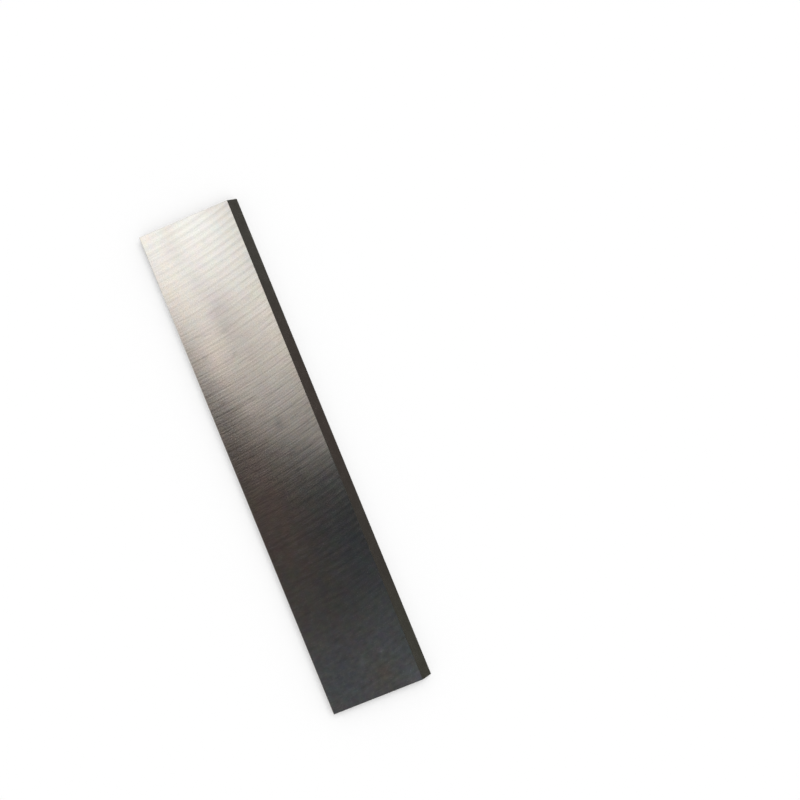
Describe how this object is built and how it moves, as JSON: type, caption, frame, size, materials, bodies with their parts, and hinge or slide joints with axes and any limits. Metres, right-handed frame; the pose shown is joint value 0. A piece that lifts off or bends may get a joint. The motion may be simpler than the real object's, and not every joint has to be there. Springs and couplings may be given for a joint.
{
  "type": "planer knife",
  "caption": "Flat straight planer knife in ground tool steel, with a long single bevel along its cutting edge, for clamping in a cutter block.",
  "frame": {"origin": "middle of the rake face, the wide face that ends in the cutting edge and on which the knife lies", "axes": "+X along the cutting edge, +Y from the back edge to the cutting edge, +Z through the thickness, out of the wide face that the bevel shortens"},
  "size_m": [0.172, 0.035, 0.003],
  "materials": {
    "ground_steel": "surface ground, with arc-shaped grinding marks across both wide faces"
  },
  "bodies": {
    "root": {"knife": "ground_steel"}
  },
  "joints": []
}
